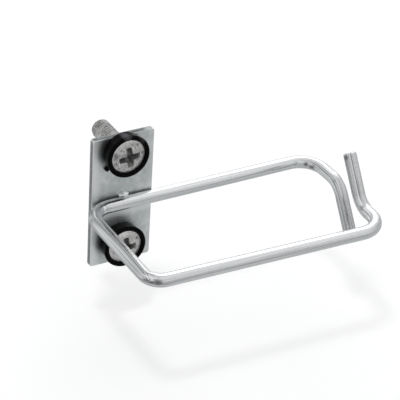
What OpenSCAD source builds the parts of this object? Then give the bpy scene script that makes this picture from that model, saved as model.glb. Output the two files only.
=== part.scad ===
// Cable hook for a server rack: an open ring of bent wire welded to a flat plate,
// with the two screws and cup washers that fasten it to a rack post.
// Millimetres. +Z is up, the ring stands out towards -Y, and the middle of the
// plate's back face is the origin.

/* [Mounting plate] */
// Width of the plate
plate_w = 20; // [18:0.5:30]
// Height of the plate
plate_h = 43.2; // [42:0.1:70]
// Thickness of the plate
plate_t = 2; // [1:0.1:4]
// Radius of the plate's four corners
plate_corner_r = 0.8; // [0.2:0.1:2]
// Distance between the plate's two holes: the outer holes of one rack unit
rack_pitch = 31.75; // [29:0.05:34]
// How far the middle of the two holes sits above the plate's middle
hole_rise = 1.05; // [-1.5:0.05:1.5]
// Gap all round the thread in the plate's holes
plate_hole_gap = 0.6; // [0.4:0.05:0.8]

/* [Wire ring] */
// Diameter of the wire
wire_d = 4; // [3:0.1:4.6]
// How far the wire's middle lies below the plate's middle
wire_drop = 0.4; // [-2:0.1:3]
// Depth of the flat that the weld makes on the wire against the plate
weld_sink = 0.2; // [0.05:0.05:0.4]
// From the plate's middle to the middle of the ring's left leg
left_reach = 12.4; // [10:0.1:25]
// From the plate's middle to the middle of the ring's right leg
right_reach = 65; // [40:0.5:120]
// How far short of the right leg the front leg's turned-in end stops
tip_inset = 1.5; // [-4:0.1:6]
// From the plate's front face to the middle of the front leg, at its left end
loop_depth = 42.4; // [34:0.1:80]
// Angle by which the front leg leans outward towards the right
front_splay = 2.3; // [0:0.1:5]
// Bend radius, to the wire's middle
bend_r = 7.5; // [4:0.1:7.8]
// Bend radius of the front left corner
front_left_r = 5; // [3:0.1:12]
// From the front leg's end corner back to the corner where the wire turns up
tip_run = 12.8; // [12.8:0.1:16]
// From the right leg's back corner to the corner where the wire turns down
leg_run = 16.2; // [13:0.1:17]
// Angle between both ends and the plane of the ring
end_angle = 57; // [35:1:65]
// Length of the end that turns up, from its corner
tip_length = 16.5; // [8:0.5:25]
// Length of the end that turns down, from its corner
leg_length = 17; // [8:0.5:25]
// Chamfer round both ends of the wire
end_chamfer = 0.6; // [0.1:0.1:1.2]
// How much the wire's radius draws in round a bend
bend_thinning = 0.01; // [0.01:0.01:0.05]

/* [Weld bead] */
// Width of the bead along the wire
bead_w = 3.2; // [2:0.1:6]
// Radius of the bead's rounded back
bead_r = 0.85; // [0.5:0.05:1.2]
// How far the bead's middle line stands off the plate
bead_off = 0.55; // [0.3:0.05:0.8]

/* [Cup washers] */
// Radius of the cup's foot on the plate
cup_foot_r = 6.2; // [5.9:0.05:6.4]
// Radius of the cup's wall just under its lip
cup_wall_r = 6.7; // [6.5:0.05:6.75]
// Depth of the whole cup
cup_h = 4.6; // [3:0.1:6]
// Thickness of the cup's floor
cup_floor = 1; // [0.6:0.1:1.6]
// Radius of the lip's round section
cup_lip_r = 0.7; // [0.5:0.05:1]
// How far the lip's middle line lies inside the foot's edge
cup_lip_inset = 0.1; // [0:0.05:0.2]
// Gap all round the screw head inside the cup
cup_head_gap = 0.1; // [0.05:0.05:0.3]
// Gap all round the thread in the cup's floor
cup_hole_gap = 0.2; // [0.1:0.05:0.4]
// How far the moulding tab stands out from the foot
tab_out = 1.8; // [0.5:0.1:3]
// Width of the moulding tab
tab_w = 1.9; // [1:0.1:3]
// Thickness of the moulding tab
tab_t = 0.8; // [0.4:0.1:1.2]
// Where the upper cup's tab points, counted from the right and upward
upper_tab_turn = 224; // [0:1:359]
// Where the lower cup's tab points, counted from the right and upward
lower_tab_turn = 150; // [0:1:359]

/* [Screws] */
// How far each screw stands in from its hole towards the other one, as its loose nut lets it
screw_draw_in = 0.4; // [0:0.05:0.45]
// How far both screws stand left of their holes' middle
screw_left = 0.4; // [0:0.05:0.45]
// Diameter of the thread
thread_d = 6; // [5:0.1:6]
// How far the thread stands out behind the plate
thread_out = 13; // [8:0.5:30]
// Chamfer at the thread's end
thread_chamfer = 0.7; // [0.2:0.1:1.5]
// Distance from one thread groove to the next
thread_pitch = 1; // [0.9:0.05:1.5]
// Depth of the thread grooves
thread_depth = 0.54; // [0.3:0.02:0.54]
// Half of the angle between a groove's two sides
thread_flank_angle = 30; // [20:1:30]
// Width of each groove's bottom
thread_root_w = 0.25; // [0.1:0.05:0.25]
// How much the plain neck under the head is thinner all round than the thread
neck_undercut = 0.35; // [0.25:0.05:0.6]
// Radius of the head
head_r = 5.35; // [4.6:0.05:5.6]
// Height of the head's straight side
head_side_h = 2.8; // [1.5:0.1:4]
// Bevel between the head's side and its crown
head_bevel = 0.2; // [0.1:0.05:0.5]
// Rise of the head's rounded crown
crown_rise = 1.2; // [0.5:0.1:2]
// Reach of the cross recess from the screw's axis
recess_r = 3.3; // [2:0.1:4]
// Width of each wing of the cross recess
recess_w = 1.5; // [0.8:0.1:2]
// Depth of the cross recess below the crown
recess_depth = 3; // [1.5:0.1:3.6]
// Turn of the upper screw's recess
upper_recess_turn = 8; // [0:1:90]
// Turn of the lower screw's recess
lower_recess_turn = 15; // [0:1:90]

/* [Hidden] */
$fn = 64;

// overshoot of cutting bodies past the faces they open
over = 1;
// how far each bend of the wire runs on inside the straight stretches beside it
bend_lap = 0.05;

wire_r = wire_d / 2;
thread_r = thread_d / 2;
neck_r = thread_r - neck_undercut;

// the thread stands as plain grooves round the shank, from its chamfer up to the plate
thread_tip = -plate_t - thread_out;
flank_rise = thread_depth * tan(thread_flank_angle);
groove_w = thread_root_w + 2 * flank_rise;
crest_w = thread_pitch - groove_w;
groove_count = floor((thread_out - thread_chamfer - crest_w) / thread_pitch);
first_groove = thread_tip + thread_chamfer + crest_w;

// heights of the plate's two holes, and of the screws in them
upper_hole_z = hole_rise + rack_pitch / 2;
lower_hole_z = hole_rise - rack_pitch / 2;
upper_z = upper_hole_z - screw_draw_in;
lower_z = lower_hole_z + screw_draw_in;

// corners of the wire's middle line, from the turned-up end round to the turned-down one
wire_z = -wire_drop;
back_y = -(plate_t + wire_r - weld_sink);
front_y = -(plate_t + loop_depth);
tip_x = right_reach - tip_inset;
tip_corner_y = front_y - (tip_x + left_reach) * tan(front_splay);
end_way = [0, cos(end_angle), sin(end_angle)];
front_left = [-left_reach, front_y, wire_z];
front_right = [tip_x, tip_corner_y, wire_z];
back_left = [-left_reach, back_y, wire_z];
back_right = [right_reach, back_y, wire_z];
tip_corner = front_right + [0, tip_run, 0];
tip_end = tip_corner + tip_length * end_way;
leg_corner = back_right - [0, leg_run, 0];
leg_end = leg_corner - leg_length * end_way;
wire_corners = [
  tip_end,
  tip_corner,
  front_right,
  front_left,
  back_left,
  back_right,
  leg_corner,
  leg_end
];
wire_bends = [0, bend_r, bend_r, front_left_r, bend_r, bend_r, bend_r, 0];
last_corner = len(wire_corners) - 1;

function unit(v) = v / norm(v);
function way(i) = unit(wire_corners[i + 1] - wire_corners[i]);
function turn_at(i) = acos(way(i - 1) * way(i));
function setback(i) = wire_bends[i] == 0 ? 0 : wire_bends[i] * tan(turn_at(i) / 2);

// cup: the lip's ring just overlaps the inside wall
cup_bore_r = head_r + cup_head_gap;
cup_lip_mid_r = cup_foot_r - cup_lip_inset;
cup_lip_y = cup_h - cup_lip_r;

// head: a ball of this radius makes the crown
crown_edge_r = head_r - head_bevel;
crown_ball_r = (crown_edge_r * crown_edge_r + crown_rise * crown_rise) / (2 * crown_rise);
head_h = head_side_h + head_bevel + crown_rise;

// stands a body built along +Z on the plate's front face, growing towards -Y
module out_from_plate(z) {
  translate([-screw_left, -plate_t, z]) rotate([90, 0, 0]) children();
}

// lays a frame at a point of the wire: x away from the bend's middle, y along the wire
module bend_frame(centre, out, along, axle) {
  multmatrix([
    [out[0], along[0], axle[0], centre[0]],
    [out[1], along[1], axle[1], centre[1]],
    [out[2], along[2], axle[2], centre[2]],
    [0, 0, 0, 1]
  ]) children();
}

// straight stretch of wire from corner i to the next one, less both bends
module wire_straight(i) {
  from = wire_corners[i] + setback(i) * way(i);
  to = wire_corners[i + 1] - setback(i + 1) * way(i);
  w = way(i);
  translate(from)
    rotate([0, acos(w[2]), atan2(w[1], w[0])])
      wire_rod(norm(to - from), i == 0, i + 1 == last_corner);
}

// round rod along +Z, with a chamfer at an end that is free
module wire_rod(length, free_start, free_end) {
  start = free_start ? end_chamfer : 0;
  stop = free_end ? end_chamfer : 0;
  translate([0, 0, start]) cylinder(r = wire_r, h = length - start - stop);
  if (free_start) cylinder(r1 = wire_r - end_chamfer, r2 = wire_r, h = end_chamfer);
  if (free_end)
    translate([0, 0, length - end_chamfer])
      cylinder(r1 = wire_r, r2 = wire_r - end_chamfer, h = end_chamfer);
}

// bend of the wire at corner i
module wire_bend(i) {
  r = wire_bends[i];
  from = way(i - 1);
  axle = unit(cross(from, way(i)));
  inward = cross(axle, from);
  centre = wire_corners[i] - setback(i) * from + r * inward;
  lap_turn = atan(bend_lap / r);
  bend_frame(centre, -inward, from, axle)
    rotate([0, 0, -lap_turn])
      rotate_extrude(angle = turn_at(i) + 2 * lap_turn)
        translate([r, 0]) circle(r = wire_r - bend_thinning);
}

module plate_blank() {
  flat_w = plate_w - 2 * plate_corner_r;
  flat_h = plate_h - 2 * plate_corner_r;
  translate([-flat_w / 2, -plate_t, -plate_h / 2]) cube([flat_w, plate_t, plate_h]);
  translate([-plate_w / 2, -plate_t, -flat_h / 2]) cube([plate_w, plate_t, flat_h]);
  for (x = [-1, 1], z = [-1, 1])
    translate([x * flat_w / 2, 0, z * flat_h / 2])
      rotate([90, 0, 0]) cylinder(r = plate_corner_r, h = plate_t);
}

module mounting_plate() {
  color("silver")
    difference() {
      plate_blank();
      for (z = [upper_hole_z, lower_hole_z])
        translate([0, over, z])
          rotate([90, 0, 0])
            cylinder(r = thread_r + plate_hole_gap, h = plate_t + 2 * over);
    }
}

module wire_ring() {
  color("gainsboro")
    difference() {
      union() {
        for (i = [0:last_corner - 1]) wire_straight(i);
        for (i = [1:last_corner - 1]) wire_bend(i);
      }
      // the weld's flat against the plate
      translate([-plate_w / 2, -plate_t, -plate_h / 2]) cube([plate_w, plate_t, plate_h]);
    }
}

// lump of weld metal in the groove between the wire's top and the plate
module weld_bead() {
  half = bead_w / 2 - bead_r;
  color("whitesmoke")
    difference() {
      translate([0, -plate_t - bead_off, wire_z + wire_r]) {
        rotate([0, 90, 0]) cylinder(r = bead_r, h = 2 * half, center = true);
        for (side = [-1, 1]) translate([side * half, 0, 0]) sphere(r = bead_r);
      }
      wire_straight(4);
      translate([-plate_w / 2, -plate_t, -plate_h / 2])
        cube([plate_w, plate_t, plate_h]);
    }
}

// cup washer standing on the plate, its tab turned by tab_turn
module cup_washer(z, tab_turn) {
  color([0.07, 0.07, 0.08])
    out_from_plate(z)
      difference() {
        union() {
          cylinder(r1 = cup_foot_r, r2 = cup_wall_r, h = cup_lip_y);
          translate([0, 0, cup_lip_y])
            rotate_extrude() translate([cup_lip_mid_r, 0]) circle(r = cup_lip_r);
          rotate([0, 0, tab_turn])
            translate([cup_bore_r, -tab_w / 2, 0])
              cube([cup_foot_r - cup_bore_r + tab_out, tab_w, tab_t]);
        }
        translate([0, 0, cup_floor]) cylinder(r = cup_bore_r, h = cup_h);
        translate([0, 0, -over])
          cylinder(r = thread_r + cup_hole_gap, h = cup_floor + 2 * over);
      }
}

// cross recess: two slots, narrowing to the screw's axis as they go down
module cross_recess() {
  intersection() {
    cylinder(r1 = recess_w / 2, r2 = recess_r, h = recess_depth);
    union() {
      for (turn = [0, 90])
        rotate([0, 0, turn])
          translate([-recess_r, -recess_w / 2, 0])
            cube([2 * recess_r, recess_w, recess_depth]);
    }
  }
}

// screw seated on the cup's floor, its recess turned by recess_turn
module screw(z, recess_turn) {
  color("lightgray")
    out_from_plate(z) {
      difference() {
        translate([0, 0, cup_floor]) screw_head();
        translate([0, 0, cup_floor + head_h - recess_depth])
          rotate([0, 0, recess_turn]) cross_recess();
      }
      translate([0, 0, -plate_t]) cylinder(r = neck_r, h = plate_t + cup_floor);
      rotate_extrude() polygon(thread_section());
    }
}

// half section of the shank behind the plate: chamfered tip, grooves, flat shoulder
function groove_section(low) = [
  [thread_r, low],
  [thread_r - thread_depth, low + flank_rise],
  [thread_r - thread_depth, low + flank_rise + thread_root_w],
  [thread_r, low + groove_w]
];
function thread_section() = [
  [0, thread_tip],
  [thread_r - thread_chamfer, thread_tip],
  [thread_r, thread_tip + thread_chamfer],
  for (i = [0:groove_count - 1]) each groove_section(first_groove + i * thread_pitch),
  [thread_r, -plate_t],
  [0, -plate_t]
];

module screw_head() {
  cylinder(r = head_r, h = head_side_h);
  translate([0, 0, head_side_h])
    cylinder(r1 = head_r, r2 = crown_edge_r, h = head_bevel);
  intersection() {
    translate([0, 0, head_h - crown_ball_r]) sphere(r = crown_ball_r, $fn = 128);
    translate([0, 0, head_side_h + head_bevel]) cylinder(r = head_r, h = crown_rise + over);
  }
}

module upper_cup_washer() cup_washer(upper_z, upper_tab_turn);
module lower_cup_washer() cup_washer(lower_z, lower_tab_turn);
module upper_screw() screw(upper_z, upper_recess_turn);
module lower_screw() screw(lower_z, lower_recess_turn);

mounting_plate();
wire_ring();
weld_bead();
upper_cup_washer();
lower_cup_washer();
upper_screw();
lower_screw();
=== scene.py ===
"""Looks of a cable hook for a server rack: an open ring of bright zinc wire welded
to a flat plate, with two cross-head screws in black cup washers.

Metres, in the part's own frame: +Z is up, the ring stands out towards -Y, and
the origin is the middle of the plate's back face.
"""

import math

import bmesh
import bpy
from mathutils import Matrix, Vector, noise


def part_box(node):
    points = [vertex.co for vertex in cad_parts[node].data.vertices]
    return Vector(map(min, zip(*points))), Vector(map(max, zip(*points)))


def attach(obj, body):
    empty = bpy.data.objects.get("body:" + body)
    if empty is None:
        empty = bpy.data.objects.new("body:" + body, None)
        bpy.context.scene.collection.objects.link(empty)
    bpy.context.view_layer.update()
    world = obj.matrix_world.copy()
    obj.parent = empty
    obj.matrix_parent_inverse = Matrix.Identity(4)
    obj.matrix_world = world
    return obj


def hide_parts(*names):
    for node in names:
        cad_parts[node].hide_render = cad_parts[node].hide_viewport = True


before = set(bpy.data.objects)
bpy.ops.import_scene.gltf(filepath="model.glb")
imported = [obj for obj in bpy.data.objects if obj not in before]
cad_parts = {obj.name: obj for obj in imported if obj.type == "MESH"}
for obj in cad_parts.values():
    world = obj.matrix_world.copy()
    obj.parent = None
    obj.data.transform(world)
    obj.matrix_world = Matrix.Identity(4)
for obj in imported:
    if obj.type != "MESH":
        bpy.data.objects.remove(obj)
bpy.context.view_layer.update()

MM = 0.001


# ---------------------------------------------------------------- sizes

PLATE_LOW, PLATE_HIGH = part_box("mounting_plate")
PLATE_FRONT = PLATE_LOW.y
PLATE_THICK = PLATE_HIGH.y - PLATE_LOW.y
PLATE_CORNER = 0.8 * MM
PLATE_EDGE_ROUND = 0.28 * MM
PLATE_HOLE_R = 3.6 * MM
PLATE_HOLES_Z = (16.925 * MM, -14.825 * MM)

WIRE_R = 2 * MM
WIRE_Z = -0.4 * MM
WIRE_LEFT = -12.4 * MM
WIRE_RIGHT = 65 * MM
WIRE_BACK = -3.8 * MM
WIRE_FRONT = -44.4 * MM
WIRE_SPLAY = math.radians(2.3)
WIRE_END_TURN = math.radians(57)
WIRE_TIP_INSET = 1.5 * MM
WIRE_TIP_RUN = 12.8 * MM
WIRE_TIP_LENGTH = 16.5 * MM
WIRE_LEG_RUN = 16.2 * MM
WIRE_LEG_LENGTH = 17 * MM
# millimetres from an end at which the wire has a section to round
WIRE_END_STEPS = (0, 0.05, 0.12, 0.22, 0.38, 0.6)
WIRE_END_ROUND = 0.6 * MM
BEND_R = 7.5 * MM
FRONT_LEFT_BEND_R = 5 * MM

CUP_FOOT_R = 6.2 * MM
CUP_WALL_R = 6.7 * MM
CUP_DEPTH = 4.6 * MM
CUP_FLOOR = 1 * MM
CUP_LIP_R = 0.7 * MM
CUP_BORE_R = 5.45 * MM
CUP_HOLE_R = 3.2 * MM

HEAD_R = 5.35 * MM
HEAD_SIDE = 2.8 * MM
HEAD_EDGE = 0.2 * MM
CROWN_RISE = 1.2 * MM
NECK_R = 2.65 * MM
THREAD_R = 3 * MM
THREAD_PITCH = 1 * MM
THREAD_DEPTH = 0.54 * MM
THREAD_LENGTH = 13 * MM
THREAD_POINT = 0.7 * MM


# ---------------------------------------------------------------- mesh helpers

def placed(name, data):
    """New object in the scene that holds the given mesh, lamp or camera."""
    made = bpy.data.objects.new(name, data)
    bpy.context.scene.collection.objects.link(made)
    return made


def add_piece(name, mesh, node, material):
    """A finished mesh as a piece: at the origin, on the one body, in place of its CAD node."""
    mesh.materials.clear()
    mesh.materials.append(material)
    piece = placed(name, mesh)
    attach(piece, "root")
    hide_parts(node)


def mesh_from(bm, name, smooth=True, crease=None):
    bmesh.ops.remove_doubles(bm, verts=bm.verts, dist=1e-7)
    bmesh.ops.recalc_face_normals(bm, faces=bm.faces)
    for face in bm.faces:
        face.smooth = smooth
    mesh = bpy.data.meshes.new(name)
    bm.to_mesh(mesh)
    bm.free()
    if crease is not None:
        mesh.set_sharp_from_angle(angle=math.radians(crease))
    return mesh


def bridge(bm, one, other):
    """Quads between two closed loops of the same count."""
    count = len(one)
    for i in range(count):
        j = (i + 1) % count
        corners = []
        for v in (one[i], one[j], other[j], other[i]):
            if v not in corners:
                corners.append(v)
        if len(corners) > 2:
            bm.faces.new(corners)


def circle_points(radius, count):
    return [
        (radius * math.cos(2 * math.pi * i / count), radius * math.sin(2 * math.pi * i / count))
        for i in range(count)
    ]


def arc(centre, radius, start, stop, steps):
    """Points of an arc in the (radius, height) plane, angles in degrees."""
    return [
        (
            centre[0] + radius * math.cos(math.radians(start + (stop - start) * i / steps)),
            centre[1] + radius * math.sin(math.radians(start + (stop - start) * i / steps)),
        )
        for i in range(steps + 1)
    ]


def lathe_loops(bm, profile, count):
    """One ring of vertices for each (radius, height) of the profile, turned about +Z."""
    return [
        [bm.verts.new((x, y, height)) for x, y in circle_points(radius, count)]
        for radius, height in profile
    ]


def stand_on_plate(bm, place):
    """Turns a body built along +Z so that it stands out from the plate's front face at place."""
    x, z = place
    turn = Matrix(((1, 0, 0, x), (0, 0, -1, PLATE_FRONT), (0, 1, 0, z), (0, 0, 0, 1)))
    bmesh.ops.transform(bm, matrix=turn, verts=bm.verts)


def axis_of(node):
    """(x, z) of the middle of a CAD node that stands on the plate."""
    low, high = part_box(node)
    return (low.x + high.x) / 2, (low.z + high.z) / 2


# ---------------------------------------------------------------- material helpers

class Shader:
    """A metal or plastic finish made of nodes, with Principled BSDF at its end."""

    def __init__(self, name, **sockets):
        self.material = bpy.data.materials.new(name)
        self.material.use_nodes = True
        self.tree = self.material.node_tree
        self.bsdf = self.tree.nodes["Principled BSDF"]
        for key, value in sockets.items():
            self.bsdf.inputs[key.replace("_", " ")].default_value = value

    def node(self, kind, **settings):
        made = self.tree.nodes.new(kind)
        for key, value in settings.items():
            setattr(made, key, value)
        return made

    def link(self, source, target):
        self.tree.links.new(source, target)

    def place(self, scale=(1, 1, 1), shift=(0, 0, 0), turn=(0, 0, 0)):
        """The piece's own coordinates, in metres, stretched for a pattern."""
        return self.mapped(self.node("ShaderNodeTexCoord").outputs["Object"], scale, shift, turn)

    def attribute(self, name, scale=(1, 1, 1), shift=(0, 0, 0)):
        """A vector stored on the piece, stretched for a pattern."""
        held = self.node("ShaderNodeAttribute", attribute_name=name)
        return self.mapped(held.outputs["Vector"], scale, shift, (0, 0, 0))

    def mapped(self, vector, scale, shift, turn):
        mapping = self.node("ShaderNodeMapping")
        mapping.inputs["Location"].default_value = shift
        mapping.inputs["Rotation"].default_value = turn
        mapping.inputs["Scale"].default_value = scale
        self.link(vector, mapping.inputs["Vector"])
        return mapping.outputs["Vector"]

    def noise(self, vector, scale, detail=3, rough=0.55, distortion=0.0):
        made = self.node("ShaderNodeTexNoise")
        made.inputs["Scale"].default_value = scale
        made.inputs["Detail"].default_value = detail
        made.inputs["Roughness"].default_value = rough
        made.inputs["Distortion"].default_value = distortion
        self.link(vector, made.inputs["Vector"])
        return made.outputs["Fac"]

    def cells(self, vector, scale, output="Distance"):
        made = self.node("ShaderNodeTexVoronoi", feature="F1")
        made.inputs["Scale"].default_value = scale
        self.link(vector, made.inputs["Vector"])
        return made.outputs[output]

    def remap(self, value, low, high, to_low=0.0, to_high=1.0):
        made = self.node("ShaderNodeMapRange")
        made.clamp = True
        ends = {"From Min": low, "From Max": high, "To Min": to_low, "To Max": to_high}
        for key, number in ends.items():
            made.inputs[key].default_value = number
        self.link(value, made.inputs["Value"])
        return made.outputs["Result"]

    def math(self, operation, a, b):
        made = self.node("ShaderNodeMath", operation=operation)
        for socket, value in zip(made.inputs, (a, b)):
            if isinstance(value, (int, float)):
                socket.default_value = value
            else:
                self.link(value, socket)
        return made.outputs[0]

    def times(self, a, b):
        return self.math("MULTIPLY", a, b)

    def larger(self, a, b):
        """The larger of two values, or the second one where there is no first one yet."""
        return b if a is None else self.math("MAXIMUM", a, b)

    def off(self, value, middle):
        """How far a value lies to either side of a middle one."""
        return self.math("ABSOLUTE", self.math("SUBTRACT", value, middle), 0)

    def x_y_z(self):
        """The three coordinates of the piece's own points, in metres."""
        parts = self.node("ShaderNodeSeparateXYZ")
        self.link(self.place(), parts.inputs[0])
        return parts.outputs["X"], parts.outputs["Y"], parts.outputs["Z"]

    def mix(self, factor, a, b):
        made = self.node("ShaderNodeMix", data_type="RGBA")
        self.link(factor, made.inputs[0])
        for index, value in ((6, a), (7, b)):
            if isinstance(value, tuple):
                made.inputs[index].default_value = (*value, 1)
            else:
                self.link(value, made.inputs[index])
        return made.outputs[2]

    def spot(self, centre, radius, ragged, scale, squeeze=(1, 1, 1)):
        """1 inside a ragged spot round a point of the piece, 0 away from it.

        A squeeze below 1 draws the spot out along that axis.
        """
        away = self.node("ShaderNodeVectorMath", operation="DISTANCE")
        away.inputs[1].default_value = [c * share for c, share in zip(centre, squeeze)]
        self.link(self.place(squeeze), away.inputs[0])
        torn = self.times(self.noise(self.place(), scale, 4), ragged)
        away = self.math("ADD", away.outputs["Value"], torn)
        return self.remap(away, radius * 1.15, radius * 0.6)

    def bump(self, height, distance, strength=1.0, under=None):
        made = self.node("ShaderNodeBump")
        made.inputs["Distance"].default_value = distance
        made.inputs["Strength"].default_value = strength
        self.link(height, made.inputs["Height"])
        if under is not None:
            self.link(under, made.inputs["Normal"])
        return made.outputs["Normal"]

    def base(self, where, one, other):
        """The ground colour, from one to the other as where goes from 0 to 1."""
        self.tone = self.mix(where, one, other)

    def paint(self, where, colour):
        """Lays a colour over what is there already, where and as strongly as where says."""
        self.tone = self.mix(where, self.tone, colour)

    def finish(self, roughness, normal):
        for key, value in (("Base Color", self.tone), ("Roughness", roughness), ("Normal", normal)):
            self.link(value, self.bsdf.inputs[key])
        return self.material


# ---------------------------------------------------------------- finishes

def satin_zinc():
    """Blue-grey satin zinc of the plate: cloudy, with fine rolling lines and stains; painted shade
    above the wire and beside the cups, painted light below the wire, painted reflection on the
    edges.
    """
    s = Shader("satin zinc plate", Metallic=1.0)
    cloud = s.noise(s.place(), 160, 4, 0.6)
    spangle = s.cells(s.place(), 700, output="Color")
    spangle_grey = s.node("ShaderNodeRGBToBW")
    s.link(spangle, spangle_grey.inputs["Color"])
    rolled = s.noise(s.place((1, 1, 0.05)), 3200, 3, 0.6)
    grain = s.noise(s.place(), 5200, 2, 0.5)
    s.base(s.remap(cloud, 0.36, 0.64), (0.62, 0.655, 0.66), (0.88, 0.90, 0.895))
    spangle = s.remap(spangle_grey.outputs["Val"], 0.2, 0.8, 0.0, 0.4)
    s.paint(spangle, (0.50, 0.535, 0.54))
    s.paint(s.remap(rolled, 0.35, 0.7, 0.0, 0.18), (0.78, 0.80, 0.80))
    stain = s.noise(s.place((1, 1, 1), (0.02, 0.01, 0.03)), 420, 5, 0.7)
    s.paint(s.remap(stain, 0.64, 0.76, 0.0, 0.35), (0.42, 0.43, 0.42))
    x, y, z = s.x_y_z()
    on_front = s.remap(y, -1.0 * MM, -1.7 * MM)

    # painted shade and painted reflection of the wire's underside, in the groove above the wire
    over_wire = s.math("SUBTRACT", z, WIRE_Z)
    groove = s.math("ADD", over_wire, s.times(cloud, 1.2 * MM))
    groove = s.remap(groove, 2.9 * MM, 1.5 * MM, 0.0, 0.75)
    groove = s.times(groove, s.remap(over_wire, -0.6 * MM, 0))
    s.paint(s.times(groove, on_front), (0.16, 0.17, 0.17))

    # lighter towards both sides, most at the left one, and painted light in a strip below the wire,
    # against the wire's shade and reflection there
    pale_and_painted_light = (0.97, 0.98, 0.975)
    off_middle = s.off(x, (PLATE_LOW.x + PLATE_HIGH.x) / 2)
    s.paint(s.remap(off_middle, 7.2 * MM, 10.4 * MM, 0.0, 0.55), pale_and_painted_light)
    s.paint(s.remap(x, -6.8 * MM, -9 * MM, 0.0, 0.9), pale_and_painted_light)
    # painted light: a lighter strip below the wire
    strip = s.times(
        s.remap(over_wire, -6.2 * MM, -4.6 * MM), s.remap(over_wire, -1.2 * MM, -2.2 * MM)
    )
    s.paint(s.times(strip, s.times(on_front, 0.7)), pale_and_painted_light)

    # painted shadow against the left of each cup
    cup_shadow = None
    for name in ("upper_screw", "lower_screw"):
        axis_x, axis_z = axis_of(name)
        away = s.node("ShaderNodeVectorMath", operation="DISTANCE")
        away.inputs[1].default_value = (axis_x, PLATE_FRONT, axis_z)
        s.link(s.place(), away.inputs[0])
        ring = s.remap(away.outputs["Value"], 8.3 * MM, 6.6 * MM)
        ring = s.times(ring, s.remap(z, axis_z - 4 * MM, axis_z - 1 * MM, 0.15, 1.0))
        cup_shadow = s.larger(cup_shadow, ring)
    cup_shadow = s.times(cup_shadow, s.remap(x, -3.0 * MM, -6.0 * MM, 0.0, 0.85))
    s.paint(s.times(cup_shadow, on_front), (0.09, 0.095, 0.1))

    # painted reflection: the plate's narrow edge faces darker, as where they mirror the grey steel
    # behind
    edge_reflection = None
    for value, low, high in ((x, PLATE_LOW.x, PLATE_HIGH.x), (z, PLATE_LOW.z, PLATE_HIGH.z)):
        half = (high - low) / 2
        side = s.remap(s.off(value, (low + high) / 2), half - 0.09 * MM, half - 0.03 * MM)
        edge_reflection = s.larger(edge_reflection, side)
    shear_line = s.noise(s.place((1, 0.15, 1)), 2600, 4, 0.7)
    edge_reflection = s.times(edge_reflection, s.remap(shear_line, 0.35, 0.65, 0.95, 0.6))
    s.paint(edge_reflection, (0.24, 0.25, 0.25))

    rough = s.remap(s.math("ADD", cloud, grain), 0.6, 1.4, 0.40, 0.51)
    height = s.bump(grain, 0.02 * MM, 0.35, s.bump(rolled, 0.02 * MM, 0.3))
    return s.finish(rough, height)


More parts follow.
